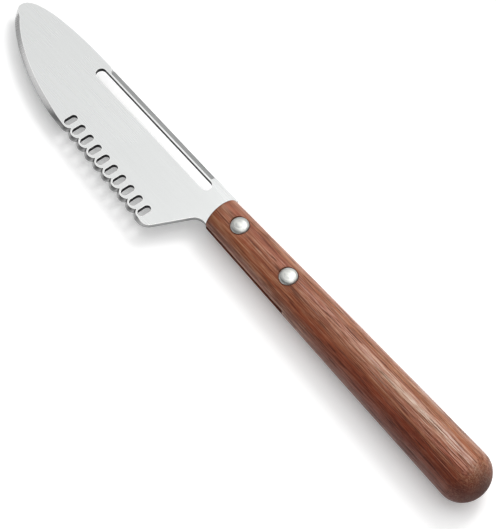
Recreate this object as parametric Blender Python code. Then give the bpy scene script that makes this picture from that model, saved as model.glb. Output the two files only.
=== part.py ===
"""Butter knife with a turned wooden handle.

The blade is one sheet of stainless steel with a long slot beside the spine, a row of ten holes
along a lobed edge, and a flat tang. The tang lies in a saw cut in the front of the handle and is
held by two rivets, each a post pressed into a socket.

Knife frame: x runs from the front of the handle towards its butt, y towards the spine, and z up
from the middle of the sheet. The whole knife hangs on one empty, which puts the origin in the
middle of its footprint, on the surface that it lies on. Every size is in metres.
"""

import math

import bmesh
import bpy
from mathutils import Matrix, Vector

# Clearances
SEAT_GAP = 0.0003
RADIAL_GAP = 0.0003

# Blade, seen from above
SHEET_THICKNESS = 0.0016
BLADE_LENGTH = 0.0983
SPINE_ABOVE_HANDLE = 0.00057
TIP_Y = -0.0016
SPINE_CURVE_LENGTH = 0.0399
SPINE_CURVE_FULLNESS = 2.6
EDGE_CURVE_FULLNESS = 1.53
EDGE_CURVE_RUN_OUT = 0.0029
NECK_INSIDE_HANDLE = 0.00048
NECK_LENGTH = 0.0033
NECK_FILLET = 0.0040
REAR_ANGLE = math.radians(62)
HEEL_Y = -0.02087
HEEL_RADIUS = 0.0044

# Row of holes and lobes
HOLE_COUNT = 10
HOLE_PITCH = 0.00435
HOLE_WIDTH = 0.00252
HOLE_LENGTH = 0.0045
HOLE_RIM = 0.00055
HOLE_OFFSET = 0.0002
NOTCH_DEPTH = 0.00127
ROW_SLOPE = math.radians(3.4)
ROW_TO_HEEL_ROUND = 0.0009

# Slot beside the spine
SLOT_WIDTH = 0.0035
SLOT_LENGTH = 0.0550
SLOT_TO_HANDLE = 0.0085
BAR_WIDTH = 0.0021

# Ground edges
EDGE_LAND = 0.0005
EDGE_GRIND_WIDTH = 0.0015
LOBE_GRIND_WIDTH = 0.00085
GRIND_START = 0.0040
GRIND_EASE = 0.0110
BAR_GRIND_WIDTH = 0.0016
BAR_GRIND_DEPTH = 0.0008

# Tang
TANG_PAST_RIVET = 0.0051
TANG_WIDTH = 0.0084
TANG_CORNER = 0.0030

# Handle
HANDLE_LENGTH = 0.1150
HANDLE_FRONT_RADIUS = 0.00608
HANDLE_BUTT_RADIUS = 0.00835
HANDLE_BELLY = 0.00011
BUTT_DOME_LENGTH = 0.0077
FRONT_EASE = 0.0005

# Rivets
FRONT_RIVET_X = 0.0090
RIVET_SPACING = 0.0221
HEAD_RADIUS = 0.00283
HEAD_RIM = 0.00015
HEAD_DOME = 0.00115
HEAD_FULLNESS = 2.15
HEAD_SINK = 0.00105
SOCKET_RADIUS = 0.0020
SOCKET_WALL = 0.0007
SOCKET_FLOOR = 0.0010
SOCKET_TOP_COVER = 0.0012

# Facets
CURVE_STEPS = 22
LOBE_STEPS = 8
HOLE_END_STEPS = 8
CORNER_STEPS = 6
EASE_STEPS = 4
HANDLE_SIDES = 40
HANDLE_TAPER_STEPS = 10
DOME_STEPS = 7
RIVET_SIDES = 28
SMOOTH_ANGLE = math.radians(35)
MERGE_DISTANCE = 1e-7
CUTTER_OVERSHOOT = 0.002

STEEL = ("satin_steel", (0.72, 0.72, 0.70, 1.0), 0.34, 1.0)
POLISHED = ("polished_steel", (0.80, 0.80, 0.79, 1.0), 0.16, 1.0)
WOOD = ("turned_wood", (0.275, 0.084, 0.038, 1.0), 0.42, 0.0)


def clear_scene():
    for obj in list(bpy.data.objects):
        bpy.data.objects.remove(obj, do_unlink=True)


def make_material(name, colour, roughness, metallic):
    material = bpy.data.materials.new(name)
    material.use_nodes = True
    shader = material.node_tree.nodes["Principled BSDF"]
    shader.inputs["Base Color"].default_value = colour
    shader.inputs["Roughness"].default_value = roughness
    shader.inputs["Metallic"].default_value = metallic
    material.diffuse_color = colour
    return material


def add_piece(name, mesh, material, frame):
    """Puts a mesh in the scene as a piece of the knife, hung on the knife's empty."""
    piece = bpy.data.objects.new(name, mesh)
    bpy.context.scene.collection.objects.link(piece)
    mesh.materials.append(material)
    piece.parent = frame
    return piece


def add_cut(piece, mesh):
    """Takes the mesh away from the piece with a live Boolean."""
    cutter = bpy.data.objects.new(mesh.name, mesh)
    bpy.context.scene.collection.objects.link(cutter)
    cutter.parent = piece.parent
    cutter.hide_render = True
    cutter.display_type = "WIRE"
    cut = piece.modifiers.new(mesh.name, "BOOLEAN")
    cut.operation = "DIFFERENCE"
    cut.solver = "EXACT"
    cut.object = cutter


def finish_mesh(work, name, merge=True):
    """Closes a bmesh: coincident points merged, faces turned outwards."""
    if merge:
        bmesh.ops.remove_doubles(work, verts=work.verts[:], dist=MERGE_DISTANCE)
    bmesh.ops.recalc_face_normals(work, faces=work.faces[:])
    mesh = bpy.data.meshes.new(name)
    work.to_mesh(mesh)
    work.free()
    return mesh


def add_prism(work, outline, low, high):
    """Adds an upright prism over a closed outline of (x, y) points."""
    base = work.faces.new([work.verts.new((x, y, low)) for x, y in outline])
    grown = bmesh.ops.extrude_face_region(work, geom=[base])["geom"]
    top = [item for item in grown if isinstance(item, bmesh.types.BMVert)]
    bmesh.ops.translate(work, verts=top, vec=(0, 0, high - low))


def prism_mesh(name, outlines, low, high):
    work = bmesh.new()
    for outline in outlines:
        add_prism(work, outline, low, high)
    return finish_mesh(work, name)


def turned_mesh(name, profile, axis, sides):
    """Spins a profile of 3-D points once round an axis through the origin."""
    work = bmesh.new()
    points = [work.verts.new(point) for point in profile]
    edges = [work.edges.new(pair) for pair in zip(points, points[1:])]
    bmesh.ops.spin(
        work,
        geom=points + edges,
        cent=(0, 0, 0),
        axis=axis,
        angle=2 * math.pi,
        steps=sides,
        use_merge=True,
    )
    mesh = finish_mesh(work, name)
    mesh.shade_smooth()
    mesh.set_sharp_from_angle(angle=SMOOTH_ANGLE)
    return mesh


def arc(centre, radius, start, end, steps):
    """Points on a circle from angle start to angle end, both included."""
    turns = [start + (end - start) * i / steps for i in range(steps + 1)]
    return [(centre[0] + radius * math.cos(t), centre[1] + radius * math.sin(t)) for t in turns]


def obround(centre, length, width, along, steps):
    """A slot outline with round ends; along is the angle of its long axis."""
    reach = (length - width) / 2
    step = Vector((math.cos(along), math.sin(along))) * reach
    middle = Vector(centre)
    ends = ((middle + step, along), (middle - step, along + math.pi))
    points = []
    for end, facing in ends:
        points += arc(end, width / 2, facing - math.pi / 2, facing + math.pi / 2, steps)
    return points


def smooth_step(value):
    value = min(max(value, 0.0), 1.0)
    return value * value * (3 - 2 * value)


def superellipse(centre, semi_x, semi_y, fullness, steps):
    """A quarter of a superellipse from straight above or below its centre to its left end.

    The points satisfy |x / semi_x| ** fullness + |y / semi_y| ** fullness = 1, and a negative
    semi_y gives the quarter below the centre.
    """
    power = 2 / fullness
    points = []
    for i in range(steps + 1):
        turn = math.pi / 2 * i / steps
        x = centre[0] - semi_x * math.sin(turn) ** power
        y = centre[1] + semi_y * max(math.cos(turn), 0.0) ** power
        points.append((x, y))
    return points


def corner_fillet(corner, before, after, radius, steps):
    """Rounds a corner between two directions, both unit vectors in the sense of travel."""
    before, after = Vector(before), Vector(after)
    turn = before.angle_signed(after)
    reach = radius * math.tan(abs(turn) / 2)
    start = Vector(corner) - before * reach
    side = Vector((-before.y, before.x)) * (-1 if turn > 0 else 1)
    centre = start + side * radius
    first = math.atan2(start.y - centre.y, start.x - centre.x)
    return arc(centre, radius, first, first - turn, steps)


def spine_y():
    return HANDLE_FRONT_RADIUS + SPINE_ABOVE_HANDLE


def neck_corner():
    """Where the rear edge would meet the underside of the neck."""
    return Vector((-NECK_LENGTH, NECK_INSIDE_HANDLE - HANDLE_FRONT_RADIUS))


def rear_direction():
    """Up the rear edge, from the heel to the neck."""
    return Vector((math.cos(REAR_ANGLE), math.sin(REAR_ANGLE)))


def row_direction():
    """Along the line that touches every lobe from below, towards the heel."""
    return Vector((math.cos(ROW_SLOPE), -math.sin(ROW_SLOPE)))


def row_normal():
    """Square to the row, into the blade."""
    return Vector((math.sin(ROW_SLOPE), math.cos(ROW_SLOPE)))


def heel_corner():
    """Where the line under the lobes would meet the rear edge."""
    rear = rear_direction()
    return neck_corner() + rear * ((HEEL_Y - neck_corner().y) / rear.y)


def heel_reach():
    """Distance from the heel's corner to either end of its round."""
    return HEEL_RADIUS * math.tan((REAR_ANGLE + ROW_SLOPE) / 2)


def lobe_radius():
    """Radius of the arc that spans one pitch with a rise of the notch depth."""
    half_pitch = HOLE_PITCH / 2
    return (half_pitch * half_pitch + NOTCH_DEPTH * NOTCH_DEPTH) / (2 * NOTCH_DEPTH)


def lobe_foot(index):
    """Lowest point of a lobe, counted from the tip's end; the last one lies next to the heel."""
    back = heel_reach() + ROW_TO_HEEL_ROUND + (HOLE_COUNT - 1 - index) * HOLE_PITCH
    return heel_corner() - row_direction() * back


def lobe_centre(index):
    return lobe_foot(index) + row_normal() * lobe_radius()


def hole_centre(index):
    """A hole stands a little tipwards over its lobe, with the ground edge and a rim between."""
    rise = LOBE_GRIND_WIDTH + HOLE_RIM + HOLE_LENGTH / 2 - lobe_radius()
    return lobe_centre(index) + Vector((-HOLE_OFFSET, rise))


def spine_points():
    """From the shoulder at the handle along the spine to the tip."""
    centre = (SPINE_CURVE_LENGTH - BLADE_LENGTH, TIP_Y)
    height = spine_y() - TIP_Y
    curve = superellipse(centre, SPINE_CURVE_LENGTH, height, SPINE_CURVE_FULLNESS, CURVE_STEPS)
    return [(-SEAT_GAP, spine_y())] + curve


def edge_points():
    """From the tip along the cutting edge to just before the first lobe's lowest point."""
    end = lobe_foot(0) - row_direction() * EDGE_CURVE_RUN_OUT
    curve = superellipse(
        (end.x, TIP_Y), BLADE_LENGTH + end.x, end.y - TIP_Y, EDGE_CURVE_FULLNESS, CURVE_STEPS
    )
    return curve[::-1][1:]


def lobe_points():
    """The lobed edge: an arc under each hole, meeting its neighbours in a notch."""
    low = -math.pi / 2 - ROW_SLOPE
    half = 2 * math.atan(NOTCH_DEPTH / (HOLE_PITCH / 2))
    points = []
    for index in range(HOLE_COUNT):
        first = low if index == 0 else low - half
        last = low if index == HOLE_COUNT - 1 else low + half
        steps = LOBE_STEPS if 0 < index < HOLE_COUNT - 1 else LOBE_STEPS // 2
        run = arc(lobe_centre(index), lobe_radius(), first, last, steps)
        points += run if index == 0 else run[1:]
    return points


def heel_points():
    """Round the heel, up the rear edge and into the neck at the handle."""
    rear = rear_direction()
    points = corner_fillet(heel_corner(), row_direction(), rear, HEEL_RADIUS, CORNER_STEPS)
    points += corner_fillet(neck_corner(), rear, (1, 0), NECK_FILLET, CORNER_STEPS)
    return points


def tang_end():
    return FRONT_RIVET_X + RIVET_SPACING + TANG_PAST_RIVET


def tang_points():
    """The shoulder's lower half, round the tang, and back to the shoulder's upper half."""
    half = TANG_WIDTH / 2
    inner = half - TANG_CORNER
    end = tang_end() - TANG_CORNER
    points = [(-SEAT_GAP, neck_corner().y), (-SEAT_GAP, -half)]
    points += arc((end, -inner), TANG_CORNER, -math.pi / 2, 0, CORNER_STEPS)
    points += arc((end, inner), TANG_CORNER, 0, math.pi / 2, CORNER_STEPS)
    points.append((-SEAT_GAP, half))
    return points


def ground_insets(points, first, last):
    """How far each point of the outline moves inwards from the lower face to the upper one.

    The ground edge grows from nothing at the tip, eases to the lobes' width before the row, where
    every point moves straight into the blade, and fades out round the heel.
    """
    row_start = lobe_foot(0).x
    fade_start = lobe_foot(HOLE_COUNT - 1).x
    fade_end = (heel_corner() + rear_direction() * heel_reach()).x
    insets = [Vector((0, 0))] * len(points)
    for i in range(first, last):
        x = points[i][0]
        start = smooth_step((TIP_Y - points[i][1]) / GRIND_START)
        ease = smooth_step((x - row_start + GRIND_EASE) / GRIND_EASE)
        fade = smooth_step((fade_end - x) / (fade_end - fade_start))
        width = (EDGE_GRIND_WIDTH + (LOBE_GRIND_WIDTH - EDGE_GRIND_WIDTH) * ease) * start * fade
        along = Vector(points[i + 1]) - Vector(points[i - 1])
        inward = Vector((-along.y, along.x)).normalized()
        insets[i] = inward.lerp(row_normal(), ease).normalized() * width
    return insets


def blade_mesh():
    """The sheet as three stacked outlines: lower face, top of the edge's land, upper face."""
    spine = spine_points()
    outline = spine + edge_points()
    outline += lobe_points()
    lobed = len(outline)
    outline += heel_points() + tang_points()
    insets = ground_insets(outline, len(spine), lobed + CORNER_STEPS + 1)
    low = -SHEET_THICKNESS / 2
    work = bmesh.new()
    loops = []
    for height, share in ((low, 0), (low + EDGE_LAND, 0), (-low, 1)):
        moved = [Vector(point) + inset * share for point, inset in zip(outline, insets)]
        loops.append([work.verts.new((point.x, point.y, height)) for point in moved])
    work.faces.new(loops[0])
    work.faces.new(loops[-1])
    for lower, upper in zip(loops, loops[1:]):
        for i in range(len(lower)):
            work.faces.new((lower[i - 1], lower[i], upper[i], upper[i - 1]))
    return finish_mesh(work, "blade", merge=False), outline


def slot_outline():
    centre = (-SLOT_TO_HANDLE - SLOT_LENGTH / 2, spine_y() - BAR_WIDTH - SLOT_WIDTH / 2)
    return obround(centre, SLOT_LENGTH, SLOT_WIDTH, 0, HOLE_END_STEPS)


def bar_grind_mesh():
    """A wedge that takes the upper outer corner off the bar between the slot and the spine."""
    top = SHEET_THICKNESS / 2
    over = CUTTER_OVERSHOOT
    rise = over * BAR_GRIND_DEPTH / BAR_GRIND_WIDTH
    section = (
        (spine_y() - BAR_GRIND_WIDTH - over, top + rise),
        (spine_y() + over, top - BAR_GRIND_DEPTH - rise),
        (spine_y() + over, top + rise),
    )
    start = -SLOT_TO_HANDLE - SLOT_LENGTH + SLOT_WIDTH / 2
    end = -SLOT_TO_HANDLE - SLOT_WIDTH / 2
    work = bmesh.new()
    base = work.faces.new([work.verts.new((start, y, z)) for y, z in section])
    grown = bmesh.ops.extrude_face_region(work, geom=[base])["geom"]
    far = [item for item in grown if isinstance(item, bmesh.types.BMVert)]
    bmesh.ops.translate(work, verts=far, vec=(end - start, 0, 0))
    return finish_mesh(work, "bar_grind_cut")


def rivet_places():
    return (("front", FRONT_RIVET_X), ("rear", FRONT_RIVET_X + RIVET_SPACING))


def shank_hole_radius():
    return SOCKET_RADIUS + RADIAL_GAP


def round_outline(x, radius):
    return arc((x, 0), radius, 0, 2 * math.pi, RIVET_SIDES)[:-1]


def add_blade(frame, material):
    mesh, outline = blade_mesh()
    blade = add_piece("blade", mesh, material, frame)
    reach = SHEET_THICKNESS / 2 + CUTTER_OVERSHOOT
    holes = [
        obround(hole_centre(i), HOLE_LENGTH, HOLE_WIDTH, math.pi / 2 - ROW_SLOPE, HOLE_END_STEPS)
        for i in range(HOLE_COUNT)
    ]
    shanks = [round_outline(x, shank_hole_radius()) for _, x in rivet_places()]
    add_cut(blade, prism_mesh("blade_openings_cut", holes + shanks + [slot_outline()], -reach, reach))
    add_cut(blade, bar_grind_mesh())
    return outline


def handle_radius(x):
    """Radius of the handle: a straight taper with a slight belly, then a domed butt."""
    dome_start = HANDLE_LENGTH - BUTT_DOME_LENGTH
    share = min(x / dome_start, 1.0)
    radius = HANDLE_FRONT_RADIUS + (HANDLE_BUTT_RADIUS - HANDLE_FRONT_RADIUS) * share
    return radius + 4 * HANDLE_BELLY * share * (1 - share)


def handle_profile():
    """(x, radius) down the handle: flat front, eased edge, taper, domed butt."""
    dome_start = HANDLE_LENGTH - BUTT_DOME_LENGTH
    ease_top = handle_radius(FRONT_EASE) - FRONT_EASE
    profile = [(0, 0)]
    profile += [
        (FRONT_EASE - FRONT_EASE * math.cos(t), ease_top + FRONT_EASE * math.sin(t))
        for t in (math.pi / 2 * i / EASE_STEPS for i in range(EASE_STEPS + 1))
    ]
    for i in range(1, HANDLE_TAPER_STEPS + 1):
        x = FRONT_EASE + (dome_start - FRONT_EASE) * i / HANDLE_TAPER_STEPS
        profile.append((x, handle_radius(x)))
    for i in range(1, DOME_STEPS + 1):
        turn = math.pi / 2 * i / DOME_STEPS
        radius = 0 if i == DOME_STEPS else HANDLE_BUTT_RADIUS * math.cos(turn)
        profile.append((dome_start + BUTT_DOME_LENGTH * math.sin(turn), radius))
    return profile


def add_handle(frame, material):
    profile = handle_profile()
    mesh = turned_mesh("handle", [(x, 0, radius) for x, radius in profile], (1, 0, 0), HANDLE_SIDES)
    handle = add_piece("handle", mesh, material, frame)
    widest = max(radius for _, radius in profile) + CUTTER_OVERSHOOT
    kerf_start = -CUTTER_OVERSHOOT
    kerf_end = tang_end() + SEAT_GAP
    kerf_half = SHEET_THICKNESS / 2 + SEAT_GAP
    kerf = ((kerf_start, -widest), (kerf_end, -widest), (kerf_end, widest), (kerf_start, widest))
    add_cut(handle, prism_mesh("kerf_cut", [kerf], -kerf_half, kerf_half))
    shanks = [round_outline(x, shank_hole_radius()) for _, x in rivet_places()]
    add_cut(handle, prism_mesh("shank_hole_cut", shanks, -widest, widest))
    for side, name in ((1, "upper_counterbore_cut"), (-1, "lower_counterbore_cut")):
        work = bmesh.new()
        for _, x in rivet_places():
            counterbore = round_outline(x, HEAD_RADIUS + RADIAL_GAP)
            add_prism(work, counterbore, side * seat_height(x), side * widest)
        add_cut(handle, finish_mesh(work, name))
    return max(radius for _, radius in profile)


def seat_height(x):
    """Distance of a counterbore's floor from the middle of the sheet."""
    return handle_radius(x) - HEAD_SINK


def head_profile(under):
    """(radius, height) over a rivet's head, from its crown down to its underside's rim.

    The crown is a quarter of a superellipse, so it is nearly flat in the middle and rounds over
    quickly towards the rim.
    """
    crown = superellipse((0, under + HEAD_RIM), HEAD_RADIUS, HEAD_DOME, HEAD_FULLNESS, DOME_STEPS)
    return [(-x, height) for x, height in crown] + [(HEAD_RADIUS, under)]


def add_rivet(name, x, frame, material):
    """A post with its head above, pressed into a socket with its head below."""
    under = seat_height(x) + SEAT_GAP
    bore_floor = -under + SOCKET_FLOOR
    bore_radius = SOCKET_RADIUS - SOCKET_WALL
    post_radius = bore_radius - RADIAL_GAP
    socket_top = seat_height(x) - SOCKET_TOP_COVER
    post = head_profile(under)
    post += [(post_radius, under), (post_radius, bore_floor + SEAT_GAP), (0, bore_floor + SEAT_GAP)]
    socket = [(radius, -height) for radius, height in head_profile(under)][::-1]
    socket = [
        (0, bore_floor),
        (bore_radius, bore_floor),
        (bore_radius, socket_top),
        (SOCKET_RADIUS, socket_top),
        (SOCKET_RADIUS, -under),
    ] + socket
    for half, profile in (("post", post), ("socket", socket)):
        points = [(radius, 0, height) for radius, height in profile]
        mesh = turned_mesh(f"{name}_rivet_{half}", points, (0, 0, 1), RIVET_SIDES)
        mesh.transform(Matrix.Translation((x, 0, 0)))
        add_piece(f"{name}_rivet_{half}", mesh, material, frame)


def place_origin(frame, outline, handle_widest):
    """Puts the origin in the middle of the knife's footprint, level with the handle's underside."""
    low_y = min(min(y for _, y in outline), -handle_widest)
    high_y = max(max(y for _, y in outline), handle_widest)
    middle_x = (HANDLE_LENGTH + min(x for x, _ in outline)) / 2
    frame.location = (-middle_x, -(low_y + high_y) / 2, handle_widest)


def main():
    clear_scene()
    frame = bpy.data.objects.new("knife_frame", None)
    bpy.context.scene.collection.objects.link(frame)
    outline = add_blade(frame, make_material(*STEEL))
    handle_widest = add_handle(frame, make_material(*WOOD))
    polished = make_material(*POLISHED)
    for name, x in rivet_places():
        add_rivet(name, x, frame, polished)
    place_origin(frame, outline, handle_widest)


main()
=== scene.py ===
"""Finished surfaces of a butter knife, laid out as an add-on and run as a script.

The knife frame has its origin in the middle of the handle's front, x towards the butt, y towards
the spine and z up from the middle of the sheet. Everything is worked out there, in metres, and
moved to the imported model's frame when its mesh is made.
"""

import math

import bmesh
import bpy
import numpy as np
from bpy.props import FloatProperty, FloatVectorProperty, IntProperty, PointerProperty
from mathutils import Matrix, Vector
from mathutils.geometry import delaunay_2d_cdt


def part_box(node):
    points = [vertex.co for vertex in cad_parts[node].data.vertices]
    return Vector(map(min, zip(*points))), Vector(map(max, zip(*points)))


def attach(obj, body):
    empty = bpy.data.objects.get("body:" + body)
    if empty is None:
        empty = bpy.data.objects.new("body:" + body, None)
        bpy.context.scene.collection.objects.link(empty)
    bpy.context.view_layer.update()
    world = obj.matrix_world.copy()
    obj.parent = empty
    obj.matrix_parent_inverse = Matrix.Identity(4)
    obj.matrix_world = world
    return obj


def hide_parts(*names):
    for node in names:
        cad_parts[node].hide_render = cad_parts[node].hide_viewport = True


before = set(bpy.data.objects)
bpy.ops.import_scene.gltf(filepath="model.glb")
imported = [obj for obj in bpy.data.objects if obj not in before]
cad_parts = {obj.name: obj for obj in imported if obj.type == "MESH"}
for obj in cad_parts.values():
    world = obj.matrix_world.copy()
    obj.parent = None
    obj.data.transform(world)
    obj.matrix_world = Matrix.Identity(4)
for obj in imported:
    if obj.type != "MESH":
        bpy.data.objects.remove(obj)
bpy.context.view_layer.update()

bl_info = {
    "name": "Butter Knife",
    "version": (1, 0, 0),
    "blender": (4, 5, 0),
    "location": "View3D > Sidebar > Knife",
    "description": "Spreading knife with a pierced steel blade and a turned wooden handle",
    "category": "Add Mesh",
}

BODY = "root"
MM = 0.001

BLADE_LOW, BLADE_HIGH = (np.array(corner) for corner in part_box("blade"))
HANDLE_LOW, HANDLE_HIGH = (np.array(corner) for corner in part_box("handle"))
KNIFE_ORIGIN = (HANDLE_LOW + HANDLE_HIGH) / 2
KNIFE_ORIGIN[0] = HANDLE_LOW[0]


def kind_of_setting(kind, **options):
    """A function that makes settings of one kind from a name, a description and a default."""

    def setting(name, description, default):
        return kind(name=name, description=description, default=default, **options)

    return setting


# Lengths are in metres, positions are points of the knife frame and angles are in radians
length = kind_of_setting(FloatProperty, unit="LENGTH", precision=5)
angle = kind_of_setting(FloatProperty, unit="ROTATION")
lens_length = kind_of_setting(FloatProperty, unit="CAMERA")
share = kind_of_setting(FloatProperty, subtype="FACTOR")
number = kind_of_setting(FloatProperty)
count = kind_of_setting(IntProperty, min=1)
colour = kind_of_setting(FloatVectorProperty, subtype="COLOR")
direction = kind_of_setting(FloatVectorProperty, subtype="DIRECTION")
position = kind_of_setting(FloatVectorProperty, subtype="TRANSLATION")


class KnifeBladeSettings(bpy.types.PropertyGroup):
    thickness: length("Thickness", "Thickness of the sheet", BLADE_HIGH[2] - BLADE_LOW[2])
    blade_length: length("Length", "From the handle's front to the tip", KNIFE_ORIGIN[0] - BLADE_LOW[0])
    spine_y: length("Spine height", "From the handle's axis to the spine", BLADE_HIGH[1] - KNIFE_ORIGIN[1])
    tip_y: length("Tip height", "From the handle's axis to the tip", -1.6 * MM)
    spine_curve_length: length("Spine curve", "Length of the curved end of the spine", 39.9 * MM)
    spine_fullness: number("Spine fullness", "Exponent of the spine's superellipse", 2.6)
    edge_fullness: number("Edge fullness", "Exponent of the edge's superellipse", 1.53)
    edge_run_out: length("Edge run-out", "From the edge's curve to the first lobe's lowest point", 2.9 * MM)
    neck_inside: length("Neck step", "How far the neck lies inside the handle's outline", 0.48 * MM)
    neck_length: length("Neck length", "From the handle to the rear edge's corner", 3.3 * MM)
    neck_fillet: length("Neck fillet", "Radius in the corner under the neck", 4.0 * MM)
    handle_front_radius: length("Handle radius", "Radius of the handle at the blade", 6.08 * MM)
    rear_angle: angle("Rear angle", "Slope of the rear edge", math.radians(62))
    heel_y: length("Heel height", "Height of the corner that the heel's round cuts off", -20.87 * MM)
    heel_radius: length("Heel radius", "Radius of the heel", 4.4 * MM)
    hole_count: count("Holes", "Number of holes, each over its lobe", 10)
    hole_pitch: length("Hole pitch", "Distance from hole to hole", 4.35 * MM)
    hole_width: length("Hole width", "Width of a hole", 2.52 * MM)
    hole_length: length("Hole length", "Length of a hole", 4.5 * MM)
    hole_rim: length("Hole rim", "Flat between a hole and the ground edge", 0.55 * MM)
    hole_offset: length("Hole offset", "How far a hole lies tipwards of its lobe", 0.2 * MM)
    notch_depth: length("Notch depth", "Depth of the notch between two lobes", 1.27 * MM)
    row_slope: angle("Row slope", "Slope of the row of holes", math.radians(3.4))
    row_to_heel: length("Row to heel", "From the last lobe to the heel's round", 0.9 * MM)
    slot_width: length("Slot width", "Width of the slot", 3.5 * MM)
    slot_length: length("Slot length", "Length of the slot", 55 * MM)
    slot_to_handle: length("Slot to handle", "From the slot to the handle's front", 8.5 * MM)
    bar_width: length("Bar width", "Width of the bar between the slot and the spine", 2.1 * MM)
    edge_land: length("Edge land", "Height of the edge that isn't ground", 0.5 * MM)
    edge_grind: length("Edge grind", "Width of the ground edge along the curve", 1.5 * MM)
    lobe_grind: length("Lobe grind", "Width of the ground edge along the lobes", 0.85 * MM)
    grind_start: length("Grind start", "Height over which the ground edge grows at the tip", 4.0 * MM)
    grind_ease: length("Grind ease", "Length over which it narrows before the lobes", 11.0 * MM)
    bar_grind: length("Bar grind", "Width of the ground corner of the bar", 1.6 * MM)
    bar_grind_depth: length("Bar grind depth", "Depth of the ground corner of the bar", 0.8 * MM)
    bar_grind_start: length("Bar grind start", "Length over which it grows at the tip's end", 2.5 * MM)
    bar_grind_stop: length("Bar grind stop", "Length over which it ends at the handle's end", 0.5 * MM)
    tang_end: length("Tang end", "From the handle's front to its end", BLADE_HIGH[0] - KNIFE_ORIGIN[0])
    tang_width: length("Tang width", "Width of the tang", 8.4 * MM)
    tang_corner: length("Tang corner", "Radius of the tang's corners", 3.0 * MM)
    shoulder_gap: length("Shoulder gap", "Hairline between the shoulders and the handle", 0.04 * MM)
    shank_hole: length("Shank hole", "Radius of the holes for the rivets", 2.3 * MM)
    shank_sides: count("Shank hole sides", "Facets round the tang's holes for the rivets", 64)
    eased: length("Eased edges", "Size of the rounded edges", 0.10 * MM)
    crisp: length("Crisp edges", "Size of the rounding along ground edges", 0.03 * MM)
    spacing: length("Spacing", "Distance between points of an outline", 0.22 * MM)
    steel: colour("Steel", "Rolled and brushed face", (0.700, 0.712, 0.708))
    ground: colour("Ground steel", "Ground edges", (0.80, 0.80, 0.80))
    # Partly cut steel and partly painted shade: near black where the walls reflect the shadowed floor
    cut: colour("Cut steel", "Walls of the slot and the holes", (0.030, 0.030, 0.033))
    # Painted highlight: a light rim painted along rounded edges and round the slot and the holes; rim_width
    # and side_rim_width set its widths
    painted_highlight: colour("Rubbed steel", "Light rims where a rounded edge has been rubbed", (0.92, 0.92, 0.91))
    rim_width: length("Rim", "Width of the rubbed rim round the slot and the holes", 0.22 * MM)
    side_rim_width: length("Side rim", "Width of the rubbed rim along the outline", 0.17 * MM)
    # Shares of that near-black colour painted as shade onto the outline's walls, the ground lobes and the
    # bar's ground corner
    side_shade: share("Side shade", "How much of the cut steel's colour the sheet's sides have", 0.55)
    lobe_shade: share("Lobe shade", "How much of the cut steel's colour the ground lobes have", 0.50)
    bar_shade: share("Bar shade", "How much of it the bar's ground corner has", 0.20)


class KnifeHandleSettings(bpy.types.PropertyGroup):
    handle_length: length("Length", "Length of the handle", HANDLE_HIGH[0] - HANDLE_LOW[0])
    front_radius: length("Front radius", "Radius at the blade", 6.08 * MM)
    butt_radius: length("Butt radius", "Radius where the dome starts", (HANDLE_HIGH[2] - HANDLE_LOW[2]) / 2)
    belly: length("Belly", "How far the taper bulges in the middle", 0.11 * MM)
    dome_length: length("Dome", "Length of the domed butt", 7.7 * MM)
    front_ease: length("Front ease", "Radius of the front's edge", 0.5 * MM)
    kerf_gap: length("Kerf gap", "Clearance on each side of the tang", 0.05 * MM)
    kerf_past_tang: length("Kerf length", "How far the saw cut runs past the tang", 0.3 * MM)
    counterbore_gap: length("Counterbore gap", "Clearance round a rivet's head", 0.3 * MM)
    sides: count("Sides", "Facets round the handle", 144)
    seat_sides: count("Seat sides", "Facets round the rivets' holes and counterbores", 96)
    rings: count("Rings", "Facets along the taper", 150)
    ease_rings: count("Ease rings", "Facets over the front's edge", 8)
    dome_rings: count("Dome rings", "Facets over the dome", 39)
    # Reach of the darkening at the front and over the dome: end grain, and partly painted shade
    front_soak: length("Front soak", "How far the front has soaked up the oil", 0.7 * MM)
    dome_soak: number("Dome soak", "Exponent of the end grain's growth over the dome", 1.2)
    light: colour("Light wood", "Lightest streaks", (0.450, 0.205, 0.115))
    middle: colour("Wood", "Colour between the streaks", (0.282, 0.081, 0.037))
    dark: colour("Dark wood", "Darkest streaks", (0.150, 0.044, 0.023))
    pore: colour("Pores", "Open pores", (0.070, 0.018, 0.010))
    # Near black over the end grain: the end grain's own darker colour and partly painted shade
    soaked_and_shaded: colour("End grain", "End grain, which soaks up the oil", (0.055, 0.014, 0.010))
    # Partly pale fibres and partly painted glints of light along the grain
    fleck_glint: colour("Flecks", "Pale flecks along the grain", (0.560, 0.340, 0.240))


class KnifeRivetSettings(bpy.types.PropertyGroup):
    head_rim: length("Head rim", "Height of a head's straight rim", 0.15 * MM)
    head_dome: length("Head dome", "Height of a head's crown", 1.15 * MM)
    head_fullness: number("Head fullness", "Exponent of the crown's superellipse", 2.15)
    post_radius: length("Post radius", "Radius of the post", 1.0 * MM)
    bore_radius: length("Bore radius", "Radius of the socket's bore", 1.3 * MM)
    socket_radius: length("Socket radius", "Radius of the socket's shank", 2.0 * MM)
    socket_floor: length("Socket floor", "Material between the bore and the head's crown", 1.0 * MM)
    crown_steps: count("Crown steps", "Facets from the crown's middle to its rim", 28)
    sides: count("Sides", "Facets round a rivet", 96)
    polished: colour("Polished steel", "Rivets", (0.645, 0.650, 0.620))
    hazed: colour("Hazed steel", "Swirls that polishing left on the rivets", (0.44, 0.45, 0.44))


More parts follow.
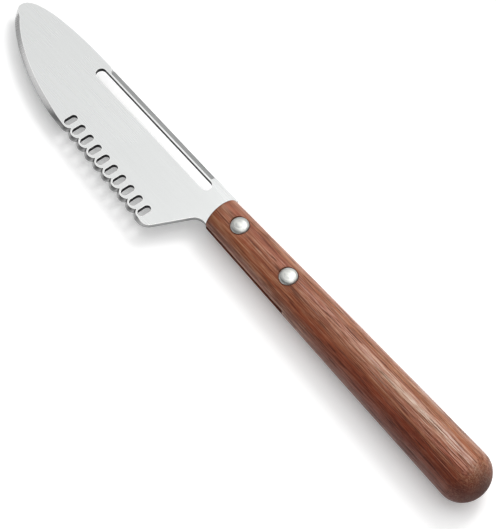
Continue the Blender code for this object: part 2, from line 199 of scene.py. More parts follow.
class KnifeStageSettings(bpy.types.PropertyGroup):
    azimuth: angle("Azimuth", "Where the camera stands", math.radians(50.4))
    elevation: angle("Elevation", "How high the camera stands", math.radians(62.6))
    distance: length("Distance", "From the handle's front to the camera", 600 * MM)
    aim_right: length("Aim right", "Camera moved to its right", 8.135 * MM)
    aim_up: length("Aim up", "Camera moved up", -14.90 * MM)
    lens: lens_length("Lens", "Focal length in millimetres", 137.02)
    light_from: direction("Light from", "Where the brightest part of the ceiling is", (-0.33, 0.28, 0.90))
    ceiling: number("Ceiling", "Strength of the studio's ceiling and walls", 1.0)
    dim_side: direction("Dim side", "Where the studio is dim, behind the camera", (0.48, -0.88, 0.0))
    dim_level: share("Dim level", "How much of the light is left there", 0.07)
    dim_start: number("Dim start", "Cosine to the dim side at which it starts to dim", -0.25)
    dim_full: number("Dim full", "Cosine to the dim side at which it is dimmest", 0.44)
    key_place: position("Key lamp", "Middle of the lamp over the handle", (240 * MM, 140 * MM, 500 * MM))
    key_length: length("Key length", "Size of the lamp along the knife", 620 * MM)
    key_width: length("Key width", "Size of the lamp across the knife", 560 * MM)
    key: number("Key light", "Brightness of the lamp's face, where 1 is white", 1.52)
    strip_place: position("Strip lamp", "Middle of the lamp past the spine", (-30 * MM, 380 * MM, 500 * MM))
    strip_length: length("Strip length", "Size of the lamp along the knife", 200 * MM)
    strip_width: length("Strip width", "Size of the lamp across the knife", 280 * MM)
    strip: number("Strip light", "Brightness of the lamp's face, where 1 is white", 8.0)
    wall_side: direction("Wall side", "Middle of the lit wall past the butt", (0.93, -0.37, 0.0))
    wall_level: number("Wall level", "Brightness of that wall", 0.35)
    wall_start: number("Wall start", "Cosine to the wall side at which it starts", 0.35)
    wall_full: number("Wall full", "Cosine to the wall side at which it is brightest", 0.8)
    wall_top: number("Wall top", "Sine of the height above the horizon at which it ends", 0.55)
    wall_fade: number("Wall fade", "How much below that sine it starts to fade", 0.25)
    side_place: position("Side lamp", "Middle of the lamp past the tip", (-360 * MM, -270 * MM, 190 * MM))
    side_height: length("Side height", "Height of the lamp", 220 * MM)
    side_width: length("Side width", "Size of the lamp across the knife", 220 * MM)
    side: number("Side light", "Brightness of the lamp's face, where 1 is white", 0.75)
    floor_size: length("Floor size", "Side of the floor", 6.0)
    floor: colour("Floor", "Pale paper", (0.88, 0.88, 0.88))
    floor_lift: share("Floor lift", "Paper white that the camera sees added to the floor", 0.29)


class KnifeSettings(bpy.types.PropertyGroup):
    blade: PointerProperty(type=KnifeBladeSettings)
    handle: PointerProperty(type=KnifeHandleSettings)
    rivets: PointerProperty(type=KnifeRivetSettings)
    stage: PointerProperty(type=KnifeStageSettings)


# Curves in the plane of the sheet

# Fewest facets of a half circle
FEWEST_TURNS = 10
# Length of the spine's and the edge's curves over their reach, which sets how many points they get
SPINE_BOW = 1.15
EDGE_BOW = 1.1


def arc(centre, radius, start, end, steps):
    """Points on a circle from angle start to angle end, both included."""
    turns = np.linspace(start, end, steps + 1)
    return np.stack([centre[0] + radius * np.cos(turns), centre[1] + radius * np.sin(turns)], axis=1)


def straight(start, end, spacing):
    """Evenly spaced points from start to end, without the end."""
    start, end = np.array(start), np.array(end)
    steps = max(1, round(np.linalg.norm(end - start) / spacing))
    return start + (end - start) * (np.arange(steps) / steps)[:, None]


def superellipse(centre, semi_x, semi_y, fullness, steps):
    """A quarter of a superellipse, from straight above or below its centre to its left end.

    Its points satisfy |x / semi_x| ** fullness + |y / semi_y| ** fullness = 1. The parameter is
    warped so that the points stay evenly spaced near both ends.
    """
    even = np.linspace(0, 1, steps + 1)
    rising, falling = even ** (fullness / 2), (1 - even) ** (fullness / 2)
    turn = math.pi / 2 * rising / (rising + falling)
    power = 2 / fullness
    x = centre[0] - semi_x * np.sin(turn) ** power
    y = centre[1] + semi_y * np.maximum(np.cos(turn), 0) ** power
    return np.stack([x, y], axis=1)


def corner_fillet(corner, before, after, radius, spacing):
    """Rounds the corner between two unit directions, both in the sense of travel."""
    turn = math.atan2(before[0] * after[1] - before[1] * after[0], np.dot(before, after))
    start = corner - before * radius * math.tan(abs(turn) / 2)
    side = np.array((-before[1], before[0])) * math.copysign(1, turn)
    centre = start + side * radius
    first = math.atan2(*(start - centre)[::-1])
    return arc(centre, radius, first, first + turn, max(2, round(radius * abs(turn) / spacing)))


def smooth_step(value):
    """Three times the square less twice the cube of a value, which is held between 0 and 1."""
    value = np.clip(value, 0, 1)
    return value * value * (3 - 2 * value)


def obround(centre, long_side, width, along, spacing):
    """A slot's outline with round ends, clockwise, so that the steel lies on its left."""
    step = np.array((math.cos(along), math.sin(along))) * (long_side - width) / 2
    radius = width / 2
    turns = max(FEWEST_TURNS, round(math.pi * radius / spacing * 2))
    first = arc(centre + step, radius, along - math.pi / 2, along + math.pi / 2, turns)
    second = arc(centre - step, radius, along + math.pi / 2, along + math.pi * 1.5, turns)
    parts = [
        first[:-1],
        straight(first[-1], second[0], spacing),
        second[:-1],
        straight(second[-1], first[0], spacing),
    ]
    return np.concatenate(parts)[::-1]


def left_normals(outline):
    """Unit normals on the left of a closed outline."""
    along = np.roll(outline, -1, axis=0) - np.roll(outline, 1, axis=0)
    normals = np.stack([-along[:, 1], along[:, 0]], axis=1)
    return normals / np.linalg.norm(normals, axis=1, keepdims=True)


def arc_lengths(outline):
    """Distance of each point from the first one, along the outline."""
    steps = np.linalg.norm(np.diff(outline, axis=0), axis=1)
    return np.concatenate([[0], np.cumsum(steps)])


# Outline of the blade


class BladeOutline:
    """The blade's outline from the shoulder round the tip, the lobes, the heel and the tang."""

    def __init__(self, sizes):
        self.sizes = sizes
        self.row = np.array((math.cos(sizes.row_slope), -math.sin(sizes.row_slope)))
        self.into = np.array((math.sin(sizes.row_slope), math.cos(sizes.row_slope)))
        self.rear = np.array((math.cos(sizes.rear_angle), math.sin(sizes.rear_angle)))
        self.neck = np.array((-sizes.neck_length, sizes.neck_inside - sizes.handle_front_radius))
        self.heel = self.neck + self.rear * ((sizes.heel_y - self.neck[1]) / self.rear[1])
        self.heel_reach = sizes.heel_radius * math.tan((sizes.rear_angle + sizes.row_slope) / 2)
        half_pitch = sizes.hole_pitch / 2
        self.lobe_radius = (half_pitch**2 + sizes.notch_depth**2) / (2 * sizes.notch_depth)

        self.spine = self.spine_points()
        ground = [self.edge_points(), self.lobe_points(), self.heel_points()]
        self.ground_end = len(self.spine) + sum(len(part) for part in ground)
        self.points = np.concatenate([self.spine] + ground + [self.neck_points(), self.tang_points()])
        self.normals = left_normals(self.points)

    def lobe_foot(self, index):
        """Lowest point of a lobe, counted from the tip's end."""
        sizes = self.sizes
        steps = sizes.hole_count - 1 - index
        return self.heel - self.row * (self.heel_reach + sizes.row_to_heel + steps * sizes.hole_pitch)

    def hole_centre(self, index):
        """Middle of the hole over a lobe, with its rim above the lobe's ground edge."""
        sizes = self.sizes
        rise = sizes.lobe_grind + sizes.hole_rim + sizes.hole_length / 2 - self.lobe_radius
        centre = self.lobe_foot(index) + self.into * self.lobe_radius
        return centre + np.array((-sizes.hole_offset, rise))

    def spine_points(self):
        """From the shoulder along the straight spine and its curved end to the tip."""
        sizes = self.sizes
        centre = (sizes.spine_curve_length - sizes.blade_length, sizes.tip_y)
        steps = round(SPINE_BOW * sizes.spine_curve_length / sizes.spacing)
        height = sizes.spine_y - sizes.tip_y
        curve = superellipse(centre, sizes.spine_curve_length, height, sizes.spine_fullness, steps)
        back = straight((-sizes.shoulder_gap, sizes.spine_y), curve[0], sizes.spacing)
        return np.concatenate([back, curve])

    def edge_points(self):
        """From the tip to just before the first lobe's lowest point."""
        sizes = self.sizes
        end = self.lobe_foot(0) - self.row * sizes.edge_run_out
        reach = sizes.blade_length + end[0]
        steps = round(EDGE_BOW * reach / sizes.spacing)
        drop = end[1] - sizes.tip_y
        curve = superellipse((end[0], sizes.tip_y), reach, drop, sizes.edge_fullness, steps)[::-1]
        return np.concatenate([curve[1:-1], straight(curve[-1], self.lobe_foot(0), sizes.spacing)])

    def lobe_points(self):
        """An arc under each hole, meeting its neighbours in a notch."""
        sizes = self.sizes
        low = -math.pi / 2 - sizes.row_slope
        half = 2 * math.atan(sizes.notch_depth / (sizes.hole_pitch / 2))
        steps = round(self.lobe_radius * half / (sizes.spacing / 2))
        parts = []
        for index in range(sizes.hole_count):
            centre = self.lobe_foot(index) + self.into * self.lobe_radius
            first = low if index == 0 else low - half
            last = low if index == sizes.hole_count - 1 else low + half
            share_of_lobe = (last - first) / half
            parts.append(arc(centre, self.lobe_radius, first, last, round(steps * share_of_lobe))[:-1])
        return np.concatenate(parts)

    def heel_points(self):
        """From the last lobe's lowest point round the heel."""
        sizes = self.sizes
        start = self.lobe_foot(sizes.hole_count - 1)
        round_heel = corner_fillet(self.heel, self.row, self.rear, sizes.heel_radius, sizes.spacing)
        return np.concatenate([straight(start, round_heel[0], sizes.spacing), round_heel])

    def neck_points(self):
        """Up the rear edge, into the neck and along it to the handle."""
        sizes = self.sizes
        start = self.heel + self.rear * self.heel_reach
        level = np.array((1.0, 0.0))
        neck = corner_fillet(self.neck, self.rear, level, sizes.neck_fillet, sizes.spacing)
        rear = straight(start, neck[0], sizes.spacing)[1:]
        shoulder = (-sizes.shoulder_gap, self.neck[1])
        return np.concatenate([rear, neck[:-1], straight(neck[-1], shoulder, sizes.spacing)])

    def tang_points(self):
        """The shoulder's lower half, round the tang, and the shoulder's upper half."""
        sizes = self.sizes
        half = sizes.tang_width / 2
        inner = half - sizes.tang_corner
        end = sizes.tang_end - sizes.tang_corner
        gap = -sizes.shoulder_gap
        steps = round(sizes.tang_corner * math.pi / 2 / sizes.spacing)
        spacing = sizes.spacing * 2
        return np.concatenate([
            straight((gap, self.neck[1]), (gap, -half), sizes.spacing),
            straight((gap, -half), (end, -half), spacing),
            arc((end, -inner), sizes.tang_corner, -math.pi / 2, 0, steps),
            arc((end, inner), sizes.tang_corner, 0, math.pi / 2, steps),
            straight((end, half), (gap, half), spacing)[1:],
            straight((gap, half), (gap, sizes.spine_y), sizes.spacing),
        ])

    def ground_edge(self):
        """(inset of the upper face, height of the land, share of the lobes' grind) for each point.

        The ground edge grows from nothing at the tip, narrows to the lobes' width before the row,
        where every point moves straight into the blade, and fades out round the heel.
        """
        sizes = self.sizes
        x, y = self.points.T
        row_start = self.lobe_foot(0)[0]
        fade_start = self.lobe_foot(sizes.hole_count - 1)[0]
        fade_end = (self.heel + self.rear * self.heel_reach)[0]
        start = smooth_step((sizes.tip_y - y) / sizes.grind_start)
        ease = smooth_step((x - row_start + sizes.grind_ease) / sizes.grind_ease)
        faded = smooth_step((fade_end - x) / (fade_end - fade_start))
        width = (sizes.edge_grind + (sizes.lobe_grind - sizes.edge_grind) * ease) * start * faded
        order = np.arange(len(x))
        width[(order < len(self.spine)) | (order >= self.ground_end)] = 0
        inward = self.normals + (self.into - self.normals) * ease[:, None]
        inward /= np.linalg.norm(inward, axis=1, keepdims=True)
        half = sizes.thickness / 2
        land = np.full(len(x), sizes.edge_land - half)
        return inward * width[:, None], land, ease

    def bar_edge(self):
        """How much of the bar's ground corner each point of the outline has, from 0 to 1."""
        sizes = self.sizes
        x = self.points[:, 0]
        start = -sizes.slot_to_handle - sizes.slot_length + sizes.slot_width / 2
        end = -sizes.slot_to_handle - sizes.slot_width / 2
        grown = smooth_step((x - start) / sizes.bar_grind_start)
        ended = np.clip((end - x) / sizes.bar_grind_stop, 0, 1)
        on_spine = np.arange(len(x)) < len(self.spine)
        return np.where(on_spine, grown * ended, 0)


# Surfaces

# Steps over a rounded edge of the sheet and over the knee where its ground face starts
EDGE_STEPS = 4
KNEE_STEPS = 3
# Rows of a sheet's side up to its wall, and of the knee
LOWER_ROWS = EDGE_STEPS + 2
KNEE_ROWS = KNEE_STEPS + 1
# Largest share of the wall's height that the knee takes up
KNEE_SHARE = 0.3
# Edges between faces that turn by more than this are shaded sharp
SHARP_ANGLE = math.radians(32)
# Distance in millimetres within which the filling of a face would merge points
MERGE_DISTANCE = 1e-7


def bent(start, corner, end, steps):
    """Points on a quadratic curve that rounds a corner; the first and last are start and end."""
    return [
        start * (1 - t) ** 2 + corner * (2 * t * (1 - t)) + end * t**2
        for t in np.linspace(0, 1, steps + 1)
    ]


def wall_rows(outline, inset, land, half, reach, crisp, rim):
    """Profile of a sheet's side carried round an outline, from its lower face to its upper one.

    A row is the outline moved inwards by a share of its inset and by a rounding along its normal,
    at a height: the lower edge is rounded, the wall rises to the land, the ground face leans in
    to the upper face, and both of its corners are rounded. The last row bounds the rim of painted
    highlight.
    """
    points = len(outline)
    flat = np.zeros((points, 3))
    flat[:, :2] = outline
    normal = np.zeros((points, 3))
    normal[:, :2] = left_normals(outline)
    up = np.array((0.0, 0.0, 1.0))
    bottom = flat - half * up
    foot = flat + land[:, None] * up
    lean = np.concatenate([inset, (half - land)[:, None]], axis=1)
    top = foot + lean
    unit_lean = lean / np.linalg.norm(lean, axis=1, keepdims=True)
    width = np.linalg.norm(inset, axis=1)
    upper = np.where(width > crisp, crisp, reach)[:, None]
    knee = np.minimum(crisp * 2, (land + half) * KNEE_SHARE)[:, None]
    support = reach / 2
    rows = [bottom + normal * (reach + support)]
    rows += bent(bottom + normal * reach, bottom, bottom + up * reach, EDGE_STEPS)
    rows += bent(foot - up * knee, foot, foot + unit_lean * knee, KNEE_STEPS)
    rows += bent(top - unit_lean * upper, top, top + normal * upper, EDGE_STEPS)
    rows += [top + normal * (upper + support), top + normal * rim]
    return np.array(rows)


def strip_faces(rows, points, start=0):
    """Quads between neighbouring rows of a closed strip."""
    along = np.arange(points)
    after = np.roll(along, -1)
    base = (np.arange(rows - 1) * points)[:, None]
    above = base + points
    quads = np.stack([base + along, base + after, above + after, above + along], axis=-1)
    return (quads + start).reshape(-1, 4)


def inside(points, loops):
    """True for the points that lie in the region that the loops bound, by the even-odd rule."""
    hit = np.zeros(len(points), bool)
    px, py = points[:, 0, None], points[:, 1, None]
    for loop in loops:
        x0, y0 = loop.T
        x1, y1 = np.roll(loop, -1, axis=0).T
        crosses = (y0 > py) != (y1 > py)
        with np.errstate(divide="ignore", invalid="ignore"):
            at = x0 + (py - y0) * (x1 - x0) / (y1 - y0)
        hit ^= (np.sum(crosses & (px < at), axis=1) % 2).astype(bool)
    return hit


def fill_flat(loops):
    """Triangles over the region between closed loops, anticlockwise, as indices into the loops."""
    points = np.concatenate(loops) / MM
    edges = []
    start = 0
    for loop in loops:
        numbers = np.arange(len(loop))
        edges += list(zip((numbers + start).tolist(), (np.roll(numbers, -1) + start).tolist()))
        start += len(loop)
    flat = [tuple(point) for point in points.tolist()]
    _, _, faces, origins, _, _ = delaunay_2d_cdt(flat, edges, [], 0, MERGE_DISTANCE)
    source = np.array([origin[0] for origin in origins])
    triangles = source[np.array(faces)]
    corners = points[triangles]
    kept = triangles[inside(corners.mean(axis=1), [loop / MM for loop in loops])]
    a, b, c = points[kept].transpose(1, 0, 2)
    turned = (b[:, 0] - a[:, 0]) * (c[:, 1] - a[:, 1]) < (b[:, 1] - a[:, 1]) * (c[:, 0] - a[:, 0])
    kept[turned] = kept[turned][:, ::-1]
    return kept


def turned_surface(profile, sides):
    """Spins a profile of (along, radius) points round the z axis; its ends lie on the axis.

    A point is (radius * cos turn, radius * sin turn, along).
    """
    turns = np.arange(sides) * (2 * math.pi / sides)
    along, radius = profile[1:-1].T
    ring = np.stack([np.cos(turns), np.sin(turns)], axis=1)
    body = np.empty((len(along), sides, 3))
    body[..., :2] = radius[:, None, None] * ring
    body[..., 2] = along[:, None]
    poles = np.array([(0, 0, profile[0, 0]), (0, 0, profile[-1, 0])])
    vertices = np.concatenate([body.reshape(-1, 3), poles])
    faces = strip_faces(len(along), sides).tolist()
    first, last = len(vertices) - 2, len(vertices) - 1
    numbers = np.arange(sides)
    after = np.roll(numbers, -1)
    final = (len(along) - 1) * sides
    faces += np.stack([np.full(sides, first), after, numbers], axis=1).tolist()
    faces += np.stack([np.full(sides, last), numbers + final, after + final], axis=1).tolist()
    return vertices, faces


def new_mesh(name, vertices, faces):
    """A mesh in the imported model's frame, from points in the knife frame."""
    mesh = bpy.data.meshes.new(name)
    mesh.from_pydata((vertices + KNIFE_ORIGIN).tolist(), [], faces)
    return mesh


def new_object(name, data):
    made = bpy.data.objects.new(name, data)
    bpy.context.scene.collection.objects.link(made)
    return made


def add_attribute(mesh, name, values):
    """Keeps a value for each point, for the materials to read."""
    layer = mesh.attributes.new(name, "FLOAT", "POINT")
    layer.data.foreach_set("value", np.asarray(values, np.float32))


def turn_outwards(mesh):
    """Turns all faces of a closed mesh outwards."""
    work = bmesh.new()
    work.from_mesh(mesh)
    bmesh.ops.recalc_face_normals(work, faces=work.faces[:])
    work.to_mesh(mesh)
    work.free()


def place_piece(mesh, material, node):
    """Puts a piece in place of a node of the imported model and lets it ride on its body.

    Its faces are turned outwards and shaded smooth where the surface is.
    """
    turn_outwards(mesh)
    mesh.shade_smooth()
    mesh.set_sharp_from_angle(angle=SHARP_ANGLE)
    mesh.validate()
    mesh.materials.clear()
    mesh.materials.append(material)
    piece = new_object(mesh.name, mesh)
    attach(piece, BODY)
    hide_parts(node)


# Materials


def fill_inputs(tree, node, inputs):
    """Links or sets inputs of a node, given by name or number."""
    for name, value in inputs.items():
        if isinstance(value, bpy.types.NodeSocket):
            tree.links.new(value, node.inputs[name])
        else:
            node.inputs[name].default_value = value


def add_node(tree, kind, settings=(), inputs=()):
    """Adds a node, sets its options and fills its inputs."""
    made = tree.nodes.new(kind)
    for name, value in dict(settings).items():
        setattr(made, name, value)
    fill_inputs(tree, made, dict(inputs))
    return made


def math_node(tree, operation, first, second=0.0, third=0.0):
    inputs = {0: first, 1: second, 2: third}
    return add_node(tree, "ShaderNodeMath", {"operation": operation}, inputs).outputs[0]


def weighted_sum(tree, start, *terms):
    """Adds values, each times its weight, to a start."""
    total = start
    for value, weight in terms:
        total = math_node(tree, "MULTIPLY_ADD", value, weight, total)
    return total


def vector_math(tree, operation, *vectors):
    inputs = dict(enumerate(vectors))
    return add_node(tree, "ShaderNodeVectorMath", {"operation": operation}, inputs).outputs


def noise(tree, vector, detail):
    """Outputs of a noise texture whose vector sets its scale."""
    inputs = {"Vector": vector, "Scale": 1.0, "Detail": detail}
    return add_node(tree, "ShaderNodeTexNoise", inputs=inputs).outputs


def fade(tree, value, start, end, before=0.0, past=1.0):
    """One level before start, another past end, and smooth between them.

    The start may be larger than the end.
    """
    inputs = {"Value": value, "From Min": start, "From Max": end, "To Min": before, "To Max": past}
    settings = {"interpolation_type": "SMOOTHSTEP"}
    return add_node(tree, "ShaderNodeMapRange", settings, inputs).outputs["Result"]


def colour_ramp(tree, value, stops):
    """Goes through (position, colour) stops while the value rises from 0 to 1."""
    ramp = add_node(tree, "ShaderNodeValToRGB", inputs={"Fac": value})
    elements = ramp.color_ramp.elements
    while len(elements) < len(stops):
        elements.new(1.0)
    for element, (position, shade) in zip(elements, stops):
        element.position = position
        element.color = opaque(shade)
    return ramp.outputs["Color"]


def add_bump(tree, shader, height, strength, depth):
    """Raises the shaded surface by a height from 0 to 1 times a depth."""
    inputs = {"Strength": strength, "Distance": depth, "Height": height}
    bump = add_node(tree, "ShaderNodeBump", inputs=inputs)
    tree.links.new(bump.outputs[0], shader.inputs["Normal"])


def mix_colour(tree, share_of_second, first, second, blend="MIX"):
    """Mixes two colours; A and B are the colour inputs 6 and 7 of the Mix node."""
    settings = {"data_type": "RGBA", "blend_type": blend, "clamp_result": False}
    inputs = {0: share_of_second, 6: first, 7: second}
    return add_node(tree, "ShaderNodeMix", settings, inputs).outputs[2]


def opaque(rgb):
    return (rgb[0], rgb[1], rgb[2], 1.0)


def streaks_group():
    """Noise drawn out along one direction, as a value from 0 to 1.

    The coordinates are multiplied by a frequency along each axis, and the noise between Low and
    High is stretched over the whole range.
    """
    name = "streaks"
    if name in bpy.data.node_groups:
        return bpy.data.node_groups[name]
    group = bpy.data.node_groups.new(name, "ShaderNodeTree")
    for socket, kind, default in (
        ("Vector", "NodeSocketVector", (0, 0, 0)),
        ("Frequency", "NodeSocketVector", (1, 1, 1)),
        ("Detail", "NodeSocketFloat", 2.0),
        ("Low", "NodeSocketFloat", 0.3),
        ("High", "NodeSocketFloat", 0.7),
    ):
        group.interface.new_socket(socket, in_out="INPUT", socket_type=kind).default_value = default
    group.interface.new_socket("Value", in_out="OUTPUT", socket_type="NodeSocketFloat")
    given = add_node(group, "NodeGroupInput").outputs
    scaled = vector_math(group, "MULTIPLY", given["Vector"], given["Frequency"])["Vector"]
    value = noise(group, scaled, given["Detail"])["Fac"]
    spread = fade(group, value, given["Low"], given["High"])
    add_node(group, "NodeGroupOutput", inputs={"Value": spread})
    return group


def streaks(tree, vector, frequency, detail=2.0, low=0.3, high=0.7):
    """The group above in a material; its frequencies are cycles a metre."""
    inputs = {"Vector": vector, "Frequency": frequency, "Detail": detail, "Low": low, "High": high}
    group = {"node_tree": streaks_group()}
    return add_node(tree, "ShaderNodeGroup", group, inputs).outputs["Value"]


def new_material(name):
    """(material, its node tree, its Principled BSDF)"""
    material = bpy.data.materials.new(name)
    material.use_nodes = True
    return material, material.node_tree, material.node_tree.nodes["Principled BSDF"]


def object_vector(tree):
    return add_node(tree, "ShaderNodeTexCoord").outputs["Object"]


def attribute(tree, name):
    return add_node(tree, "ShaderNodeAttribute", {"attribute_name": name}).outputs["Fac"]


def attribute_line(tree, name):
    """An attribute as the x of a vector, for streaks that run across its direction."""
    return add_node(tree, "ShaderNodeCombineXYZ", inputs={"X": attribute(tree, name)}).outputs[0]


def steel_material(colours):
    """Satin sheet: fine lengthwise brushing, cross-brushed ground edges, dark cut walls with painted shade,
    and painted highlights along rounded edges.
    """
    material, tree, shader = new_material("satin_steel_sheet")
    place = object_vector(tree)
    ground, cut, rim = (attribute(tree, name) for name in ("ground", "cut", "rim"))

    brushing = streaks(tree, place, (70, 4200, 70), detail=3.0)
    cloud = streaks(tree, place, (38, 60, 60), low=0.35, high=0.65)
    across = streaks(tree, attribute_line(tree, "along"), (3600, 1, 1))
    lines = add_node(tree, "ShaderNodeMix", inputs={0: ground, 2: brushing, 3: across}).outputs[0]

    base = mix_colour(tree, ground, opaque(colours.steel), opaque(colours.ground))
    # Painted shade: the near-black colour over the cut walls and, in part, over the sides and the ground
    # faces
    base = mix_colour(tree, cut, base, opaque(colours.cut))
    # Painted highlight along the rounded edges
    base = mix_colour(tree, rim, base, opaque(colours.painted_highlight))
    deepest = weighted_sum(tree, 0.98, (ground, -0.09), (cut, -0.15))
    shades = {"Value": lines, "To Min": deepest, "To Max": 1.01}
    shade = add_node(tree, "ShaderNodeMapRange", inputs=shades).outputs["Result"]

    fill_inputs(tree, shader, {
        "Base Color": mix_colour(tree, 1.0, base, shade, "MULTIPLY"),
        "Roughness": weighted_sum(tree, 0.22, (lines, 0.03), (cloud, 0.05), (cut, 0.16)),
        "Metallic": 1.0,
        "Specular Tint": (0.70, 0.70, 0.70, 1.0),
    })
    add_bump(tree, shader, lines, strength=0.12, depth=0.01 * MM)
    return material


def polished_material(colours):
    """Polished rivets with faint scratches and broken rings round their axis."""
    material, tree, shader = new_material("polished_rivet_steel")
    place = object_vector(tree)
    haze = streaks(tree, place, (900, 900, 900), detail=3.0)
    scratches = streaks(tree, place, (500, 9000, 900), low=0.62, high=0.72)
    swirls = streaks(tree, place, (260, 700, 700), detail=3.0, low=0.35, high=0.65)
    rings = streaks(tree, attribute_line(tree, "from_axis"), (1500, 1, 1), low=0.40, high=0.60)
    worn = math_node(tree, "MAXIMUM", scratches, math_node(tree, "MULTIPLY", swirls, rings))
    fill_inputs(tree, shader, {
        "Base Color": mix_colour(tree, worn, opaque(colours.polished), opaque(colours.hazed)),
        "Roughness": weighted_sum(tree, 0.46, (haze, 0.08), (scratches, 0.08)),
        "Metallic": 1.0,
    })
    return material


# Factors of the wood's colour in the middle of its width
MIDDLE_TINT = (1.04, 1.02, 1.03)
# Zones across the handle, low, high and outer: where each starts and is full, in millimetres from
# the axis towards the spine, and its factors at the front and at the butt. The low zone is painted
# shade, darker and redder; the high and outer zones are painted sheen, paler and greyer
PAINTED_LIGHT_ZONES = (
    (-1.0, -6.0, (1.08, 1.06, 1.04), (0.62, 0.46, 0.47)),
    (-0.9, 0.7, (0.97, 1.10, 1.20), (1.00, 1.32, 1.55)),
    (2.4, 4.2, (1.42, 1.58, 1.48), (1.20, 1.34, 1.28)),
)
# Distances from the handle's front between which the front's tints turn into the butt's
TINT_CHANGE = (20 * MM, 85 * MM)


def painted_light_tint(tree, place):
    """(tint, amount of oil) of the plank.

    Its tint is painted light: darker and redder low on the butt, a painted shade, and paler towards
    the spine, a painted sheen. It has less oil low on the butt: the oil is 0.8 at the front, and at
    the butt 1.1, but 0.2 in the low zone.
    """
    axes = add_node(tree, "ShaderNodeSeparateXYZ", inputs={0: place}).outputs
    x0, y0 = KNIFE_ORIGIN[:2]
    back = fade(tree, axes["X"], x0 + TINT_CHANGE[0], x0 + TINT_CHANGE[1])
    tint = opaque(MIDDLE_TINT)
    zones = []
    for start, full, at_front, at_butt in PAINTED_LIGHT_ZONES:
        zones.append(fade(tree, axes["Y"], y0 + start * MM, y0 + full * MM))
        zone_tint = mix_colour(tree, back, opaque(at_front), opaque(at_butt))
        tint = mix_colour(tree, zones[-1], tint, zone_tint)
    gained_at_butt = weighted_sum(tree, 0.3, (zones[0], -0.9))
    return tint, weighted_sum(tree, 0.8, (back, gained_at_butt))


# Noise drawn out along the grain: cycles a metre along and across it, detail, low and high
GRAIN = {
    "bands": (6, 240, 2.0, 0.30, 0.70),
    "lines": (9, 1700, 2.0, 0.32, 0.68),
    "fibres": (45, 3300, 3.0, 0.38, 0.62),
    "hairs": (300, 4600, 2.0, 0.37, 0.63),
    "pores": (90, 3200, 1.0, 0.58, 0.64),
    "flecks_and_glints": (60, 3400, 1.0, 0.58, 0.68),
    "warm": (11, 300, 2.0, 0.32, 0.68),
}
# How far the grain wanders off its line, and in what cycles a metre
WANDER = (0, 0.2 * MM, 0.2 * MM)
WANDER_CYCLES = (11, 60, 60)


def wood_material(colours):
    """Reddish-brown wood: broad bands, streaks, fine fibres and open pores, all lengthwise, with painted
    shade and sheen across the handle, painted glints in its pale flecks and painted shade over its end
    grain.
    """
    material, tree, shader = new_material("oiled_wood")
    place = object_vector(tree)
    slow = vector_math(tree, "MULTIPLY", place, WANDER_CYCLES)["Vector"]
    bend = noise(tree, slow, 2.0)["Color"]
    grain = vector_math(tree, "MULTIPLY_ADD", bend, WANDER, place)["Vector"]

    bands, lines, fibres, hairs, pores, flecks_and_glints, warm = (
        streaks(tree, grain, (along, across, across), *spread)
        for along, across, *spread in GRAIN.values()
    )
    end_grain = attribute(tree, "end_grain")
    side_grain = math_node(tree, "SUBTRACT", 1.0, end_grain)
    pores = math_node(tree, "MULTIPLY", pores, side_grain)

    tone = weighted_sum(tree, 0.0, (bands, 0.30), (lines, 0.20), (fibres, 0.30), (hairs, 0.20))
    stops = ((0.12, colours.dark), (0.50, colours.middle), (0.88, colours.light))
    base = colour_ramp(tree, tone, stops)
    # Pale flecks mixed into the colour: partly fibres and partly painted glints
    base = mix_colour(tree, math_node(tree, "MULTIPLY", flecks_and_glints, 0.22), base, opaque(colours.fleck_glint))
    base = mix_colour(tree, math_node(tree, "MULTIPLY", pores, 0.68), base, opaque(colours.pore))
    warmth = mix_colour(tree, warm, (1.07, 0.93, 0.90, 1.0), (0.95, 1.07, 1.05, 1.0))
    # Painted shade low on the butt and painted sheen towards the spine, multiplied into the colour
    painted_light, oil = painted_light_tint(tree, place)
    for tint in (warmth, painted_light):
        base = mix_colour(tree, 1.0, base, tint, "MULTIPLY")
    # End grain darkened, partly as painted shade
    soaked_and_shaded = math_node(tree, "MULTIPLY", end_grain, 0.92)

    sheen = math_node(tree, "MULTIPLY", hairs, fibres)
    oiled = weighted_sum(tree, 0.13, (sheen, 0.9), (flecks_and_glints, 0.5), (pores, -1.0))
    oiled = math_node(tree, "MULTIPLY", oiled, side_grain)
    fill_inputs(tree, shader, {
        "Base Color": mix_colour(tree, soaked_and_shaded, base, opaque(colours.soaked_and_shaded)),
        "Roughness": weighted_sum(tree, 0.46, (fibres, -0.12), (pores, 0.2), (end_grain, 0.3)),
        "Coat Weight": math_node(tree, "MULTIPLY", oiled, oil),
        "Coat Roughness": 0.26,
        "Specular IOR Level": 0.24,
    })
    height = weighted_sum(tree, 0.0, (lines, 0.4), (fibres, 0.6), (pores, -0.9))
    add_bump(tree, shader, height, strength=0.6, depth=0.05 * MM)
    return material


# Pieces


def blade_openings(sizes, outline):
    """Outlines of the row of holes, of the slot and of the rivets' holes, all clockwise."""
    upright = math.pi / 2 - sizes.row_slope
    openings = [
        obround(outline.hole_centre(i), sizes.hole_length, sizes.hole_width, upright, sizes.spacing)
        for i in range(sizes.hole_count)
    ]
    slot_x = -sizes.slot_to_handle - sizes.slot_length / 2
    slot_y = sizes.spine_y - sizes.bar_width - sizes.slot_width / 2
    openings.append(obround((slot_x, slot_y), sizes.slot_length, sizes.slot_width, 0, sizes.spacing))
    for _, x in rivet_places():
        openings.append(arc((x, 0), sizes.shank_hole, 2 * math.pi, 0, sizes.shank_sides)[:-1])
    return openings


